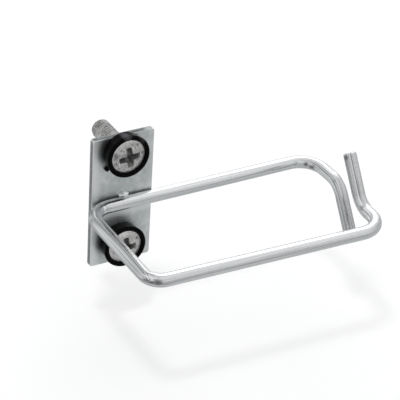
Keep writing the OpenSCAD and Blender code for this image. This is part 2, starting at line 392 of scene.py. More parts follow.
def bright_wire():
    """Bright zinc on drawn wire: streaks that follow its bends, small pits and smudges."""
    s = Shader("bright zinc wire", Metallic=1.0)
    broad = s.noise(s.attribute("along_wire", (1.6, 1.6, 22)), 1, 3, 0.55)
    fine = s.noise(s.attribute("along_wire", (9, 9, 26), (3, 1, 0)), 1, 4, 0.6)
    dapple = s.noise(s.place(), 900, 4, 0.65)
    pits = s.remap(s.cells(s.place(), 1300), 0.0, 0.16, 1.0, 0.0)
    rare = s.remap(s.noise(s.place((1, 1, 1), (0.4, 0.2, 0.1)), 330, 3), 0.6, 0.68)
    s.base(s.remap(broad, 0.35, 0.65), (0.78, 0.79, 0.797), (0.89, 0.90, 0.905))
    x, y, z = s.x_y_z()

    # streaks, most of them towards the ring's two short sides
    sideways = s.off(x, 26 * MM)
    handled = s.remap(sideways, 31 * MM, 38 * MM, 0.35, 1.0)
    streak = s.times(s.remap(fine, 0.49, 0.60), handled)
    ends = s.remap(sideways, 33 * MM, 36.5 * MM, 0.0, 0.22)
    s.paint(ends, (0.50, 0.515, 0.52))
    s.paint(s.times(streak, 0.85), (0.24, 0.25, 0.255))

    # both turned ends: a scored line along the middle, painted shade to the left of it, stippled
    turned = s.remap(s.off(z, WIRE_Z), 2.2 * MM, 4 * MM)
    middle = s.remap(z, -2 * MM, 2 * MM, WIRE_RIGHT - 0.9 * MM, WIRE_RIGHT - 2.4 * MM)
    waver = s.noise(s.attribute("along_wire", (0, 0, 60), (5, 2, 7)), 1, 3, 0.6)
    waver = s.times(waver, 0.7 * MM)
    off_middle = s.math("SUBTRACT", s.math("ADD", x, waver), middle)
    scored = s.remap(s.off(off_middle, 0.35 * MM), 0.34 * MM, 0.12 * MM)
    scored = s.times(scored, s.remap(fine, 0.36, 0.50))
    shaded_left_side = s.remap(off_middle, -0.35 * MM, -0.75 * MM, 0.0, 0.45)
    s.paint(s.times(turned, s.larger(scored, shaded_left_side)), (0.17, 0.18, 0.185))
    stipple = s.remap(s.noise(s.place(), 2600, 3, 0.6), 0.46, 0.62, 0.0, 0.4)
    s.paint(s.times(stipple, turned), (0.28, 0.29, 0.295))

    # lines along the top of the left leg, dark ones of painted reflection and white ones of painted
    # highlight: how far off its middle, width, strength, colour
    off_leg = s.math("SUBTRACT", s.math("ADD", x, s.times(waver, 0.6)), WIRE_LEFT)
    on_leg = s.times(s.remap(z, 0.2 * MM, 0.6 * MM), s.remap(off_leg, 3 * MM, 2.6 * MM))
    on_leg = s.times(on_leg, s.remap(y, -10 * MM, -14 * MM))
    for place, width, strength, colour in (
        (-0.62, 0.20, 0.85, (0.15, 0.155, 0.16)),
        (-0.10, 0.16, 0.75, (0.18, 0.185, 0.19)),
        (-1.15, 0.14, 0.50, (0.22, 0.225, 0.23)),
        (-0.36, 0.16, 0.95, (0.99, 0.99, 0.99)),
        (0.30, 0.22, 0.90, (0.99, 0.99, 0.99)),
    ):
        line = s.remap(s.off(off_leg, place * MM), width * MM, width * 0.4 * MM)
        drawn = s.times(line, s.times(on_leg, strength))
        s.paint(s.times(drawn, s.remap(broad, 0.38, 0.52, 0.45, 1.0)), colour)
    shine = s.noise(s.attribute("along_wire", (8, 8, 18), (9, 4, 2)), 1, 3, 0.6)
    s.paint(s.times(s.remap(shine, 0.52, 0.60), handled), (0.98, 0.985, 0.99))
    s.paint(s.remap(dapple, 0.5, 0.75, 0.0, 0.25), (0.60, 0.615, 0.62))
    s.paint(s.times(pits, s.times(rare, 0.6)), (0.22, 0.22, 0.21))

    # smudges in the bends: centre and size in millimetres, and how each is drawn out
    smudge = None
    for centre, size, squeeze in (
        ((-10.8, -45.1, 0.1), 1.65, (0.8, 0.8, 1.1)),
        ((-11.9, -44.2, -0.1), 1.1, (0.5, 0.5, 1.6)),
        ((-12.9, -43.0, 0.1), 1.0, (0.5, 0.5, 1.8)),
        ((61.3, -7.0, 0.0), 1.2, (1, 1, 1)),
        ((62.6, -8.6, -0.5), 1.0, (0.6, 0.6, 1)),
        ((61.8, -26.7, 12.7), 1.3, (1, 1, 1)),
    ):
        spot = s.spot([c * MM for c in centre], size * MM, size * 0.7 * MM, 1900, squeeze)
        smudge = s.larger(smudge, spot)
    s.paint(s.times(smudge, 0.85), (0.12, 0.12, 0.115))

    # the left back bend: painted reflection, darker up to a ragged painted highlight where the leg
    # starts
    ragged = s.times(s.noise(s.place(), 1700, 4, 0.7), 1.1 * MM)
    from_bend = s.math("ADD", x, ragged)
    on_back = s.remap(y, -9 * MM, -7 * MM)
    dark_bend_reflection = s.times(s.remap(from_bend, -7.3 * MM, -7.6 * MM), on_back)
    s.paint(s.times(dark_bend_reflection, 0.45), (0.38, 0.40, 0.41))
    edge = s.remap(s.off(from_bend, -7.15 * MM), 0.45 * MM, 0.15 * MM)
    s.paint(s.times(s.times(edge, on_back), 0.9), (0.99, 0.99, 0.99))

    # painted shade where the wire meets the plate, and weld spatter below the bead
    contact_shade = s.math("ADD", y, s.times(ragged, 0.5))
    contact_shade = s.times(s.remap(contact_shade, -2.75 * MM, -2.2 * MM), s.remap(x, 12 * MM, 11 * MM))
    s.paint(s.times(contact_shade, 0.8), (0.13, 0.135, 0.14))
    spatter = s.spot((-1.6 * MM, -3.8 * MM, 1.6 * MM), 1.5 * MM, 0.9 * MM, 1900, (0.6, 1, 1))
    s.paint(s.times(spatter, 0.65), (0.25, 0.26, 0.265))

    rough = s.remap(s.math("ADD", fine, dapple), 0.7, 1.35, 0.09, 0.24)
    streaked = s.bump(s.times(fine, handled), 0.12 * MM, 0.6)
    height = s.bump(dapple, 0.05 * MM, 0.25, streaked)
    return s.finish(rough, height)


def weld_metal():
    """Frozen weld metal under the plating: bright ripples, and painted shade in one dark spot under
    its hump.
    """
    s = Shader("plated weld metal", Metallic=1.0)
    ripple = s.noise(s.place(), 1000, 3, 0.5, 0.4)
    s.base(s.remap(ripple, 0.35, 0.65), (0.90, 0.93, 0.93), (0.98, 0.99, 0.99))
    # painted shade: one dark spot on the bead
    centre = (-0.3 * MM, PLATE_FRONT - 1.2 * MM, WIRE_Z + WIRE_R - 0.1 * MM)
    hollow_shade = s.spot(centre, 0.5 * MM, 0.3 * MM, 1800, (0.6, 1, 1))
    s.paint(s.times(hollow_shade, 0.85), (0.12, 0.125, 0.125))
    rough = s.remap(ripple, 0.3, 0.7, 0.30, 0.42)
    return s.finish(rough, s.bump(ripple, 0.05 * MM, 0.35))


def moulded_black():
    """Glossy black moulded plastic: faint flow marks, worn specks, and painted sheen in two patches
    on the upper cup.
    """
    s = Shader("moulded black plastic", IOR=1.15, Specular_IOR_Level=0.3)
    flow = s.noise(s.place(), 900, 3, 0.6)
    rub = s.remap(s.noise(s.place(), 2600, 4, 0.7), 0.6, 0.78, 0.0, 0.4)
    s.base(s.remap(flow, 0.35, 0.7), (0.001, 0.001, 0.001), (0.003, 0.003, 0.003))
    s.paint(rub, (0.009, 0.009, 0.009))
    # painted sheen: two lighter patches on the upper cup's wall, on top and to the right
    top_sheen = (-1.1 * MM, -4.6 * MM, 23.0 * MM)
    top_sheen = s.spot(top_sheen, 1.9 * MM, 1.1 * MM, 700, (1, 0.5, 0.6))
    right_sheen = (3.7 * MM, -5.4 * MM, 21.8 * MM)
    right_sheen = s.spot(right_sheen, 1.9 * MM, 1.2 * MM, 700, (0.8, 0.9, 0.6))
    s.paint(s.larger(top_sheen, s.times(right_sheen, 0.7)), (0.080, 0.077, 0.084))
    rough = s.remap(s.math("ADD", flow, rub), 0.4, 1.1, 0.20, 0.36)
    return s.finish(rough, s.bump(flow, 0.05 * MM, 0.3))


def scuffed_steel():
    """Warm grey plated screw: scuffs from the bit, dents with dirt in them, duller-grey patches,
    darker in the recess, a painted highlight on the head's rim, painted shade in the thread's
    roots.
    """
    s = Shader("scuffed screw steel", Metallic=1.0)
    patch = s.noise(s.place(), 520, 4, 0.65)
    scratch = s.noise(s.place((1, 1, 0.18), turn=(0, 0.7, 0)), 2600, 4, 0.7)
    scratch_two = s.noise(s.place((0.2, 1, 1), turn=(0, 0.35, 0)), 2300, 4, 0.7)
    fleck = s.noise(s.place((1, 1, 1), (0.013, 0, 0.007)), 1500, 5, 0.75)
    fleck = s.remap(fleck, 0.55, 0.62, 0.0, 0.8)
    s.base(s.remap(patch, 0.38, 0.62), (0.52, 0.51, 0.505), (0.86, 0.84, 0.82))
    s.paint(s.remap(scratch, 0.50, 0.66, 0.0, 0.75), (0.25, 0.24, 0.235))
    s.paint(s.remap(scratch_two, 0.55, 0.70, 0.0, 0.6), (0.90, 0.89, 0.87))
    s.paint(fleck, (0.10, 0.095, 0.09))
    dirty = None
    for centre, size in (
        ((-4.9, -6.0, 17.6), 1.8),
        ((-4.9, -6.0, 15.0), 1.3),
        ((2.1, -6.1, 20.1), 0.75),
        ((3.7, -6.2, 17.4), 0.8),
        ((-2.4, -6.5, 19.0), 0.6),
        ((3.2, -6.2, -12.0), 0.8),
        ((-3.0, -6.2, -16.5), 0.9),
    ):
        spot = s.spot([c * MM for c in centre], size * MM, size * 0.55 * MM, 1900)
        dirty = s.larger(dirty, spot)
    broken = s.remap(s.noise(s.place(), 3300, 3, 0.6), 0.40, 0.52, 0.35, 1.0)
    s.paint(s.times(dirty, broken), (0.07, 0.068, 0.066))
    # painted highlight: lighter towards the head's rim, most on its very edge
    edge = s.node("ShaderNodeAttribute", attribute_name="head_rim_highlight").outputs["Fac"]
    s.paint(s.times(edge, 0.8), (0.95, 0.945, 0.93))
    # darker in the cross recess, and painted shade in the thread's roots
    dark_recess_root_shade = s.node("ShaderNodeAttribute", attribute_name="recess_dark_root_shade").outputs["Fac"]
    darkened = s.times(dark_recess_root_shade, s.remap(patch, 0.35, 0.65, 0.85, 0.35))
    s.paint(darkened, (0.24, 0.24, 0.245))
    rough = s.remap(s.math("ADD", s.math("ADD", patch, scratch), darkened), 0.7, 1.8, 0.28, 0.55)
    height = s.bump(scratch, 0.05 * MM, 0.5, s.bump(patch, 0.10 * MM, 0.4))
    return s.finish(rough, height)


# ---------------------------------------------------------------- plate

def rounded_rectangle(width, height, corner, steps=8):
    points = []
    for quarter in range(4):
        sx, sz = ((1, 1), (-1, 1), (-1, -1), (1, -1))[quarter]
        for i in range(steps + 1):
            a = math.radians(90 * (quarter + i / steps))
            points.append(
                (
                    sx * (width / 2 - corner) + corner * math.cos(a),
                    sz * (height / 2 - corner) + corner * math.sin(a),
                )
            )
    return points


def punched_plate():
    """Plate with its two holes, every edge rounded by the press."""
    bm = bmesh.new()
    width = PLATE_HIGH.x - PLATE_LOW.x
    height = PLATE_HIGH.z - PLATE_LOW.z
    steps = 4
    levels = []
    for i in range(steps + 1):
        a = math.radians(90 * i / steps)
        levels.append((PLATE_EDGE_ROUND * (1 - math.sin(a)), PLATE_EDGE_ROUND * (1 - math.cos(a))))
    levels += [(inset, PLATE_THICK - depth) for inset, depth in reversed(levels)]

    def loops(points_at):
        rings = [
            [bm.verts.new((x, PLATE_FRONT + depth, z)) for x, z in points_at(inset)]
            for inset, depth in levels
        ]
        for one, other in zip(rings, rings[1:]):
            bridge(bm, one, other)
        return rings

    walls = [
        loops(
            lambda inset: rounded_rectangle(
                width - 2 * inset, height - 2 * inset, PLATE_CORNER - inset
            )
        )
    ]
    for z in PLATE_HOLES_Z:
        walls.append(
            loops(
                lambda inset, z=z: [
                    (x, z + y) for x, y in circle_points(PLATE_HOLE_R + inset, 64)
                ]
            )
        )
    for side in (0, -1):
        edges = []
        for rings in walls:
            ring = rings[side]
            for i, v in enumerate(ring):
                edges.append(bm.edges.get((v, ring[(i + 1) % len(ring)])))
        bmesh.ops.triangle_fill(bm, use_beauty=True, use_dissolve=False, edges=edges)
    mesh = mesh_from(bm, "punched plate")
    for face in mesh.polygons:
        if abs(face.normal.y) > 0.999:
            face.use_smooth = False
    return mesh


# ---------------------------------------------------------------- wire ring

def wire_corners():
    """Middle line of the wire, turned-up end first, with each corner's bend radius."""
    tip_x = WIRE_RIGHT - WIRE_TIP_INSET
    tip_y = WIRE_FRONT - (tip_x - WIRE_LEFT) * math.tan(WIRE_SPLAY)
    end_way = Vector((0, math.cos(WIRE_END_TURN), math.sin(WIRE_END_TURN)))
    front_right = Vector((tip_x, tip_y, WIRE_Z))
    back_right = Vector((WIRE_RIGHT, WIRE_BACK, WIRE_Z))
    tip_corner = front_right + Vector((0, WIRE_TIP_RUN, 0))
    leg_corner = back_right - Vector((0, WIRE_LEG_RUN, 0))
    tip_end = tip_corner + WIRE_TIP_LENGTH * end_way
    leg_end = leg_corner - WIRE_LEG_LENGTH * end_way
    points = [(tip_end - d * MM * end_way, 0) for d in WIRE_END_STEPS]
    points += [
        (tip_corner, BEND_R),
        (front_right, BEND_R),
        (Vector((WIRE_LEFT, WIRE_FRONT, WIRE_Z)), FRONT_LEFT_BEND_R),
        (Vector((WIRE_LEFT, WIRE_BACK, WIRE_Z)), BEND_R),
        (Vector((PLATE_HIGH.x, WIRE_BACK, WIRE_Z)), 0),
        (Vector((PLATE_HIGH.x + 0.02 * MM, WIRE_BACK, WIRE_Z)), 0),
        (back_right, BEND_R),
        (leg_corner, BEND_R),
    ]
    points += [(leg_end + d * MM * end_way, 0) for d in reversed(WIRE_END_STEPS)]
    return points


def modelling_tree(name, floats, counts):
    """New Geometry Nodes tree with its inputs named, and the nodes at its two ends."""
    tree = bpy.data.node_groups.new(name, "GeometryNodeTree")
    face = tree.interface
    inputs = [("Geometry", "NodeSocketGeometry")]
    inputs += [(given, "NodeSocketFloat") for given in floats]
    inputs += [(given, "NodeSocketInt") for given in counts]
    inputs += [("Finish", "NodeSocketMaterial")]
    for given, kind in inputs:
        face.new_socket(given, in_out="INPUT", socket_type=kind)
    face.new_socket("Geometry", in_out="OUTPUT", socket_type="NodeSocketGeometry")
    return tree, tree.nodes.new("NodeGroupInput"), tree.nodes.new("NodeGroupOutput")


def end_tree(tree, shape, group_in, group_out):
    """Last steps of a modelling tree: real mesh, then its finish."""
    real = tree.nodes.new("GeometryNodeRealizeInstances")
    finish = tree.nodes.new("GeometryNodeSetMaterial")
    link = tree.links.new
    link(shape, real.inputs["Geometry"])
    link(real.outputs["Geometry"], finish.inputs["Geometry"])
    link(group_in.outputs["Finish"], finish.inputs["Material"])
    link(finish.outputs["Geometry"], group_out.inputs["Geometry"])
    return tree


def bent_wire_tree():
    """Geometry Nodes: rounds the corners of a line and sweeps a round wire along it.

    Where each point lies on the wire is stored with it.
    """
    tree, group_in, group_out = modelling_tree(
        "bent wire", ("Wire Radius",), ("Bend Steps", "Sides")
    )
    new, link = tree.nodes.new, tree.links.new

    line = new("GeometryNodeMeshToCurve")
    bend = new("GeometryNodeInputNamedAttribute")
    bend.data_type = "FLOAT"
    bend.inputs["Name"].default_value = "bend_radius"
    fillet = new("GeometryNodeFilletCurve")
    fillet.mode = "POLY"
    link(group_in.outputs["Geometry"], line.inputs["Mesh"])
    link(line.outputs["Curve"], fillet.inputs["Curve"])
    link(group_in.outputs["Bend Steps"], fillet.inputs["Count"])
    link(bend.outputs["Attribute"], fillet.inputs["Radius"])

    run = new("GeometryNodeSplineParameter")
    keep_run = new("GeometryNodeCaptureAttribute")
    keep_run.capture_items.new("FLOAT", "Run")
    link(fillet.outputs["Curve"], keep_run.inputs["Geometry"])
    link(run.outputs["Length"], keep_run.inputs["Run"])

    section = new("GeometryNodeCurvePrimitiveCircle")
    link(group_in.outputs["Sides"], section.inputs["Resolution"])
    link(group_in.outputs["Wire Radius"], section.inputs["Radius"])
    place = new("GeometryNodeInputPosition")
    round_way = new("ShaderNodeVectorMath")
    round_way.operation = "NORMALIZE"
    keep_round = new("GeometryNodeCaptureAttribute")
    keep_round.capture_items.new("VECTOR", "Round")
    link(place.outputs["Position"], round_way.inputs[0])
    link(section.outputs["Curve"], keep_round.inputs["Geometry"])
    link(round_way.outputs["Vector"], keep_round.inputs["Round"])

    sweep = new("GeometryNodeCurveToMesh")
    sweep.inputs["Fill Caps"].default_value = True
    link(keep_run.outputs["Geometry"], sweep.inputs["Curve"])
    link(keep_round.outputs["Geometry"], sweep.inputs["Profile Curve"])

    split = new("ShaderNodeSeparateXYZ")
    join = new("ShaderNodeCombineXYZ")
    store = new("GeometryNodeStoreNamedAttribute")
    store.data_type = "FLOAT_VECTOR"
    store.domain = "POINT"
    store.inputs["Name"].default_value = "along_wire"
    link(keep_round.outputs["Round"], split.inputs["Vector"])
    link(split.outputs["X"], join.inputs["X"])
    link(split.outputs["Y"], join.inputs["Y"])
    link(keep_run.outputs["Run"], join.inputs["Z"])
    link(sweep.outputs["Mesh"], store.inputs["Geometry"])
    link(join.outputs["Vector"], store.inputs["Value"])
    return end_tree(tree, store.outputs["Geometry"], group_in, group_out)


def run_tree(mesh, tree, values, name):
    """Runs a Geometry Nodes tree on a mesh and returns the plain mesh that it makes."""
    carrier = placed(name, mesh)
    modifier = carrier.modifiers.new(name, "NODES")
    modifier.node_group = tree
    for item in tree.interface.items_tree:
        if item.in_out == "INPUT" and item.name in values:
            modifier[item.identifier] = values[item.name]
    evaluated = carrier.evaluated_get(bpy.context.evaluated_depsgraph_get())
    made = bpy.data.meshes.new_from_object(evaluated)
    carrier.modifiers.clear()
    bpy.data.objects.remove(carrier)
    return made


def bent_wire(material):
    points = wire_corners()
    line = bpy.data.meshes.new("wire middle line")
    line.from_pydata([p for p, _ in points], [(i, i + 1) for i in range(len(points) - 1)], [])
    bends = line.attributes.new("bend_radius", "FLOAT", "POINT")
    bends.data.foreach_set("value", [r for _, r in points])
    made = run_tree(
        line,
        bent_wire_tree(),
        {"Wire Radius": WIRE_R, "Bend Steps": 28, "Sides": 56, "Finish": material},
        "bent wire",
    )
    bm = bmesh.new()
    bm.from_mesh(made)
    ends = [(points[0][0], points[7][0]), (points[-1][0], points[-8][0])]
    ends = [(end, (end - points[i][0]).normalized()) for (end, _), i in zip(ends, (5, -6))]
    for v in bm.verts:
        for end, outward in ends:
            depth = (end - v.co).dot(outward)
            off = v.co - end + outward * depth
            if depth < WIRE_END_ROUND and off.length < 1.2 * WIRE_R:
                gone = WIRE_END_ROUND - depth
                drawn = WIRE_END_ROUND - math.sqrt(max(WIRE_END_ROUND**2 - gone**2, 0))
                v.co -= off.normalized() * drawn
        if abs(v.co.x) <= PLATE_HIGH.x + 1e-6 and v.co.y > PLATE_FRONT:
            v.co.y = PLATE_FRONT
    caps = [f for f in bm.faces if len(f.verts) > 4]
    rough_cut(bm, caps)
    bmesh.ops.recalc_face_normals(bm, faces=bm.faces)
    for face in bm.faces:
        face.smooth = True
    bm.to_mesh(made)
    bm.free()
    return made


def rough_cut(bm, caps):
    """Gives each cut end of the wire a slightly torn, dished face."""
    for cap in caps:
        middle = cap.calc_center_median()
        outward = cap.normal.copy()
        rings = [list(cap.verts)]
        bm.faces.remove(cap)
        for share in (0.85, 0.65, 0.42, 0.2):
            ring = []
            for v in rings[0]:
                spot = middle + (v.co - middle) * share
                torn = noise.noise(spot * 1400) * 0.11 * MM - 0.05 * MM * (1 - share)
                ring.append(bm.verts.new(spot + outward * torn))
            bridge(bm, rings[-1], ring)
            rings.append(ring)
        bm.faces.new(rings[-1])


# ---------------------------------------------------------------- weld bead

def weld_bead():
    """Lump of weld metal in the groove on top of the wire, humped and dimpled as it froze."""
    bm = bmesh.new()
    bmesh.ops.create_uvsphere(bm, u_segments=48, v_segments=28, radius=1)
    centre = Vector((0.25 * MM, PLATE_FRONT - 0.5 * MM, WIRE_Z + WIRE_R))
    for v in bm.verts:
        x, y, z = v.co
        lump = 1 + 0.10 * noise.noise(Vector((x * 1.7, y * 1.7 + 4, z * 1.7)))
        lump += 0.02 * noise.noise(Vector((x * 6, y * 6, z * 6 + 2)))
        dimple = 0.30 * math.exp(-(((x + 0.3) / 1.8) ** 2 + (y + 0.8) ** 2 + (z + 0.6) ** 2) / 0.10)
        v.co = centre + Vector((x * 1.7, y * 0.9, z * 0.9)) * MM * (lump - dimple)
    return mesh_from(bm, "weld bead")


# ---------------------------------------------------------------- cup washers

def cup_washer(place, tab_turn):
    """Moulded cup: flared wall, round lip, bore with a floor, and the tab left by the mould."""
    bm = bmesh.new()
    lip_middle = (CUP_FOOT_R - 0.1 * MM, CUP_DEPTH - CUP_LIP_R)
    profile = [(CUP_HOLE_R, 0), (CUP_FOOT_R - 0.3 * MM, 0)]
    profile += arc((CUP_FOOT_R - 0.25 * MM, 0.25 * MM), 0.25 * MM, -60, 0, 4)
    for share in (0.25, 0.5, 0.75):
        height = share * lip_middle[1]
        profile.append((CUP_FOOT_R + (CUP_WALL_R - CUP_FOOT_R) * share, height))
    profile += arc(lip_middle, CUP_LIP_R, -8, 150, 16)
    profile += [(CUP_BORE_R, CUP_DEPTH - 0.45 * MM), (CUP_BORE_R, CUP_FLOOR + 0.25 * MM)]
    profile += arc((CUP_BORE_R - 0.25 * MM, CUP_FLOOR + 0.25 * MM), 0.25 * MM, 0, -90, 4)[1:]
    profile += [(CUP_HOLE_R + 0.15 * MM, CUP_FLOOR), (CUP_HOLE_R, CUP_FLOOR - 0.15 * MM)]
    loops = lathe_loops(bm, profile, 96)
    for one, other in zip(loops, loops[1:] + loops[:1]):
        bridge(bm, one, other)
    tab = bmesh.ops.create_cube(bm, size=1)["verts"]
    reach = (CUP_BORE_R + 0.2 * MM, CUP_FOOT_R + 1.5 * MM)
    size = Vector((reach[1] - reach[0], 1.6 * MM, 0.8 * MM))
    shape = Matrix.Rotation(math.radians(tab_turn), 4, "Z") @ Matrix.Translation(
        ((reach[0] + reach[1]) / 2, 0, 0.4 * MM)
    )
    bmesh.ops.transform(bm, matrix=shape @ Matrix.Diagonal((*size, 1)), verts=tab)
    tab_edges = list({e for v in tab for e in v.link_edges})
    bmesh.ops.bevel(bm, geom=tab_edges, offset=0.36 * MM, segments=4, profile=0.5, affect="EDGES")
    stand_on_plate(bm, place)
    return mesh_from(bm, "cup washer", crease=40)


# ---------------------------------------------------------------- screws

def crown_height(rho):
    """Height of the head's crown over its seat, rounded a little where it meets the bevel."""
    edge = HEAD_R - HEAD_EDGE
    ball = (edge * edge + CROWN_RISE * CROWN_RISE) / (2 * CROWN_RISE)
    rho = min(rho, edge)
    return HEAD_SIDE + HEAD_EDGE + CROWN_RISE - ball + math.sqrt(ball * ball - rho * rho)


def recess_drop(u, v):
    """Depth of the cross recess below the crown at (u, v), its wings along both axes."""
    reach, deepest = 3.4 * MM, 2.8 * MM
    rho = math.hypot(u, v)
    across, along = sorted((abs(u), abs(v)))
    if rho >= reach:
        return 0.0
    floor = min(deepest, (reach - rho) * 2.3)
    half = 1.05 * MM - 0.08 * MM * max(along - 1.0 * MM, 0) / MM
    wall = (half - across) * 6.0
    hub = (1.35 * MM - rho) * 5.0
    return max(0.0, min(floor, max(wall, hub)))


def worn(u, v, drop, turn):
    """Small dents and burrs on the crown, strongest round the recess."""
    spot = Vector((u, v, turn * 0.001)) * 900
    dents = noise.noise(spot) * 0.035 * MM
    if drop == 0.0:
        near = max(0.0, 1 - abs(math.hypot(u, v) - 2.6 * MM) / (1.6 * MM))
        dents += noise.noise(spot * 2.3) * 0.05 * MM * near
    return dents


def screw_head(bm, turn):
    """Head with a domed crown: a square net over the recess that runs out into rings."""
    half, cells = 3.55 * MM, 100
    edge = HEAD_R - HEAD_EDGE
    dark_recess_root_shade = bm.verts.layers.float.new("recess_dark_root_shade")
    rim_highlight = bm.verts.layers.float.new("head_rim_highlight")
    cos, sin = math.cos(turn), math.sin(turn)

    def crown_vertex(u, v):
        rho = math.hypot(u, v)
        drop = recess_drop(u, v)
        wear = worn(u, v, drop, turn) * min(1, (edge - rho) / (0.6 * MM))
        height = crown_height(rho) - drop + wear
        made = bm.verts.new((u * cos - v * sin, u * sin + v * cos, height))
        made[dark_recess_root_shade] = min(1.0, drop / (0.7 * MM))
        # painted highlight towards the head's rim
        outer = max(0.0, (rho - 3.2 * MM) / (edge - 3.2 * MM))
        made[rim_highlight] = 0.4 * outer**2 + (0.6 if rho > edge - 0.1 * MM else 0.0)
        return made

    steps = [-half + 2 * half * i / cells for i in range(cells + 1)]
    net = [[crown_vertex(u, v) for v in steps] for u in steps]
    for i in range(cells):
        for j in range(cells):
            bm.faces.new((net[i][j], net[i + 1][j], net[i + 1][j + 1], net[i][j + 1]))
    rim = [(steps[i], -half, net[i][0]) for i in range(cells)]
    rim += [(half, steps[j], net[cells][j]) for j in range(cells)]
    rim += [(steps[cells - i], half, net[cells - i][cells]) for i in range(cells)]
    rim += [(-half, steps[cells - j], net[0][cells - j]) for j in range(cells)]
    before = [r[2] for r in rim]
    rings = 7
    for k in range(1, rings + 1):
        share = k / rings
        ring = []
        for u, v, _ in rim:
            rho = math.hypot(u, v)
            scale = 1 + share * (edge / rho - 1)
            ring.append(crown_vertex(u * scale, v * scale))
        bridge(bm, before, ring)
        before = ring
    top = HEAD_SIDE + HEAD_EDGE
    below = arc((edge, top - HEAD_EDGE), HEAD_EDGE, 60, 0, 2)
    below += [
        (HEAD_R, 0.2 * MM),
        (HEAD_R - 0.2 * MM, 0),
        (NECK_R + 0.25 * MM, 0),
        (NECK_R, -0.2 * MM),
        (NECK_R, -CUP_FLOOR - PLATE_THICK),
    ]
    for radius, height in below:
        ring = []
        for u, v, _ in rim:
            a = math.atan2(v, u) + turn
            ring.append(bm.verts.new((radius * math.cos(a), radius * math.sin(a), height)))
        bridge(bm, before, ring)
        before = ring


def thread_tree():
    """Geometry Nodes: winds a flat net into a screw thread whose rows follow the helix."""
    sizes = ("Length", "Radius", "Pitch", "Depth", "Point")
    tree, group_in, group_out = modelling_tree("screw thread", sizes, ("Sides",))
    new, link = tree.nodes.new, tree.links.new

    def maths(operation, *values):
        node = new("ShaderNodeMath")
        node.operation = operation
        for socket, value in zip(node.inputs, values):
            if isinstance(value, (int, float)):
                socket.default_value = value
            else:
                link(value, socket)
        return node.outputs[0]

    length, radius, pitch, depth, point = (group_in.outputs[size] for size in sizes)
    rows = maths("MULTIPLY", maths("ADD", maths("CEIL", maths("DIVIDE", length, pitch)), 2), 4)
    net = new("GeometryNodeMeshGrid")
    net.inputs["Size X"].default_value = 1
    net.inputs["Size Y"].default_value = 1
    link(maths("ADD", group_in.outputs["Sides"], 1), net.inputs["Vertices X"])
    link(rows, net.inputs["Vertices Y"])

    place = new("GeometryNodeInputPosition")
    parts = new("ShaderNodeSeparateXYZ")
    link(place.outputs["Position"], parts.inputs["Vector"])
    way_round = maths("ADD", parts.outputs["X"], 0.5)
    row = maths("MULTIPLY", maths("ADD", parts.outputs["Y"], 0.5), maths("SUBTRACT", rows, 1))
    row = maths("ROUND", row)
    turn = maths("FLOOR", maths("DIVIDE", maths("ADD", row, 0.5), 4))
    kind = maths("SUBTRACT", row, maths("MULTIPLY", turn, 4))

    # rows 0 and 1 hold the crest, 2 and 3 the root
    is_one = maths("COMPARE", kind, 1, 0.1)
    is_two = maths("COMPARE", kind, 2, 0.1)
    is_three = maths("COMPARE", kind, 3, 0.1)
    share = maths(
        "ADD",
        maths("MULTIPLY", is_one, 0.125),
        maths("ADD", maths("MULTIPLY", is_two, 0.4375), maths("MULTIPLY", is_three, 0.6875)),
    )
    turns = maths("SUBTRACT", maths("ADD", maths("ADD", turn, share), way_round), 1)
    rise = maths("MULTIPLY", pitch, turns)
    height = maths("MAXIMUM", maths("MINIMUM", rise, length), 0)
    root = maths("MAXIMUM", is_two, is_three)
    reach = maths("SUBTRACT", radius, maths("MULTIPLY", depth, root))
    near_point = maths("SUBTRACT", maths("ADD", radius, maths("SUBTRACT", length, height)), point)
    near_start = maths("ADD", maths("SUBTRACT", radius, depth), maths("MULTIPLY", height, 1.4))
    reach = maths("MINIMUM", reach, maths("MINIMUM", near_point, near_start))
    angle = maths("MULTIPLY", way_round, 2 * math.pi)

    made = new("ShaderNodeCombineXYZ")
    link(maths("MULTIPLY", reach, maths("COSINE", angle)), made.inputs["X"])
    link(maths("MULTIPLY", reach, maths("SINE", angle)), made.inputs["Y"])
    link(maths("MULTIPLY", height, -1), made.inputs["Z"])
    wind = new("GeometryNodeSetPosition")
    link(net.outputs["Mesh"], wind.inputs["Geometry"])
    link(made.outputs["Vector"], wind.inputs["Position"])
    weld = new("GeometryNodeMergeByDistance")
    weld.inputs["Distance"].default_value = 1e-6
    link(wind.outputs["Geometry"], weld.inputs["Geometry"])
    return end_tree(tree, weld.outputs["Geometry"], group_in, group_out)


def screw(place, turn, tree, material):
    """A cross-head machine screw seated on its cup's floor, with its thread behind the plate."""
    bm = bmesh.new()
    screw_head(bm, math.radians(turn))
    bmesh.ops.translate(bm, vec=(0, 0, CUP_FLOOR), verts=bm.verts)
    blank = bpy.data.meshes.new("thread blank")
    wound = run_tree(
        blank,
        tree,
        {
            "Length": THREAD_LENGTH,
            "Radius": THREAD_R,
            "Pitch": THREAD_PITCH,
            "Depth": THREAD_DEPTH,
            "Point": THREAD_POINT,
            "Sides": 48,
            "Finish": material,
        },
        "screw thread",
    )
    winding = bmesh.new()
    winding.from_mesh(wound)
    bmesh.ops.dissolve_degenerate(winding, dist=1e-6, edges=winding.edges)
    bmesh.ops.holes_fill(winding, edges=[e for e in winding.edges if e.is_boundary])
    bmesh.ops.translate(winding, vec=(0, 0, -PLATE_THICK), verts=winding.verts)
    winding.to_mesh(wound)
    winding.free()
    bm.from_mesh(wound)
    dark_recess_root_shade = bm.verts.layers.float["recess_dark_root_shade"]
    # painted shade: the thread darker towards its roots
    for v in bm.verts:
        if v.co.z < -PLATE_THICK:
            v[dark_recess_root_shade] = 0.95 * max(0, min(1, (THREAD_R - math.hypot(v.co.x, v.co.y)) / THREAD_DEPTH))
    stand_on_plate(bm, place)
    bmesh.ops.holes_fill(bm, edges=[e for e in bm.edges if e.is_boundary])
    return mesh_from(bm, "screw", crease=34)


